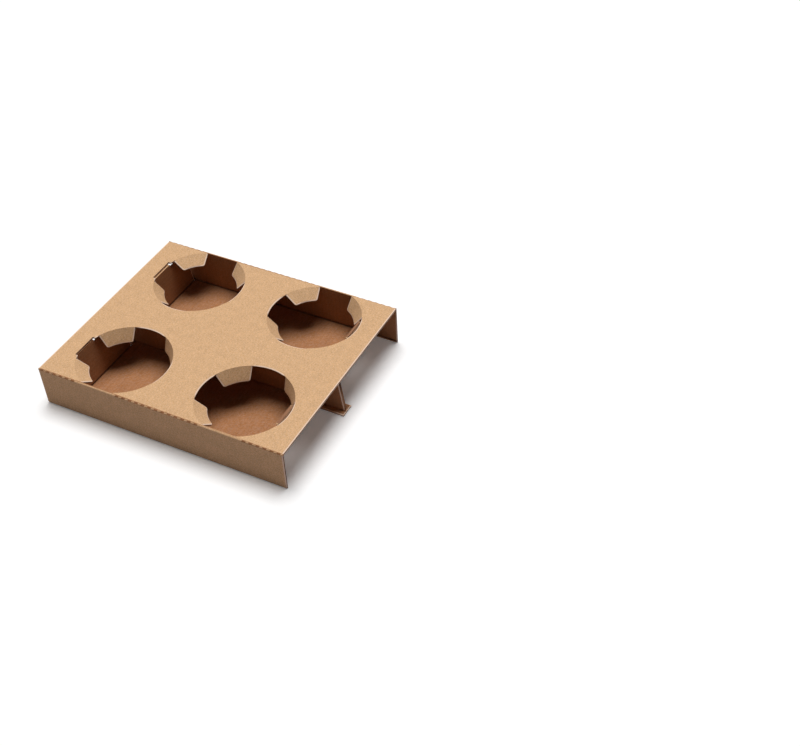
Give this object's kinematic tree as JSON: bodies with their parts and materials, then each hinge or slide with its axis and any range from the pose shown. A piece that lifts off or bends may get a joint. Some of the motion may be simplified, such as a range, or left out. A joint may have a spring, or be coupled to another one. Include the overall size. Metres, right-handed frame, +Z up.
{
  "type": "cup carrier",
  "caption": "Flat takeaway cup carrier folded from brown corrugated board, with round holes, folded grip tabs, a central web and inset end flaps.",
  "frame": {"origin": "centre of the underside, midway between the ends and between the front and back walls", "axes": "+Z up from the table, +X along the carrier's length to its right-hand end, +Y from the front wall to the back wall"},
  "size_m": [0.211, 0.17, 0.034],
  "materials": {
    "brown_board": "matt, unbleached"
  },
  "bodies": {
    "root": {"folded_carrier": "brown_board"}
  },
  "joints": []
}
